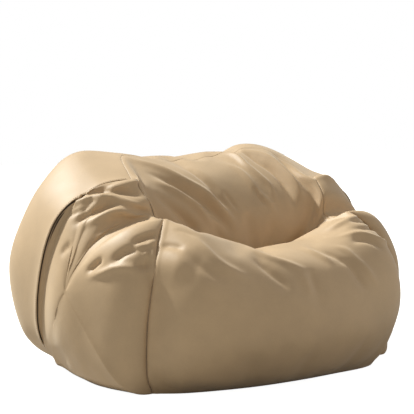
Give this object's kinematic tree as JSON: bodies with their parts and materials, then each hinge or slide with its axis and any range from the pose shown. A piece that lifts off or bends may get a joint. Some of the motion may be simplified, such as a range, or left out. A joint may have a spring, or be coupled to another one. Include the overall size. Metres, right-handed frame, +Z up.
{
  "type": "bean bag chair",
  "caption": "Low, wide bean bag lounger with a raised backrest roll, a front roll and full side arms, in a zipped leatherette cover over a bead-filled liner.",
  "frame": {"origin": "middle of the flat base, at the bottom centre of the bounding box", "axes": "+X to the sitter's left as seen from the front (the picture's right), +Y towards the back of the chair, +Z up; the seat faces -Y"},
  "size_m": [1.2562, 0.9344, 0.6883],
  "materials": {
    "cover_leatherette": "soft matt leatherette, warm tan",
    "zip_tape": "woven tape",
    "zip_teeth": "moulded",
    "zip_metal": "satin",
    "label_fabric": "satin tape",
    "liner_fabric": "plain woven",
    "liner_zip_teeth": "moulded",
    "eps_beads": "expanded bead"
  },
  "bodies": {
    "bag": {"cover_front_panel": "cover_leatherette", "cover_backrest_panel": "cover_leatherette", "cover_back_upper_panel": "cover_leatherette", "cover_back_lower_panel": "cover_leatherette", "cover_left_side_panel": "cover_leatherette", "cover_right_side_panel": "cover_leatherette", "cover_base_panel": "cover_leatherette", "cover_zip_upper_tape": "zip_tape", "cover_zip_lower_tape": "zip_tape", "cover_zip_upper_teeth": "zip_teeth", "cover_zip_lower_teeth": "zip_teeth", "cover_zip_end_stops": "zip_metal", "care_label": "label_fabric", "inner_liner_front_panel": "liner_fabric", "inner_liner_back_panel": "liner_fabric", "inner_liner_left_side": "liner_fabric", "inner_liner_right_side": "liner_fabric", "inner_liner_base_panel": "liner_fabric", "liner_zip_tapes": "liner_fabric", "liner_zip_teeth": "liner_zip_teeth", "liner_zip_end_stops": "zip_metal", "bead_fill": "eps_beads"},
    "cover_slider": {"cover_zip_slider": "zip_metal"},
    "cover_pull": {"cover_zip_pull_tab": "zip_metal"},
    "liner_slider": {"liner_zip_slider": "zip_metal"}
  },
  "joints": [
    {"name": "cover_zip_travel", "type": "slide", "parent": "bag", "child": "cover_slider", "axis": [-1, 0, 0], "range_m": [0, 0.48]},
    {"name": "pull_tab_swing", "type": "hinge", "parent": "cover_slider", "child": "cover_pull", "pos_m": [0.24, 0.46192, 0.26], "axis": [0, 0, -1], "range_deg": [0, 170]},
    {"name": "liner_zip_travel", "type": "slide", "parent": "bag", "child": "liner_slider", "axis": [-1, 0, 0], "range_m": [0, 0.344]}
  ]
}
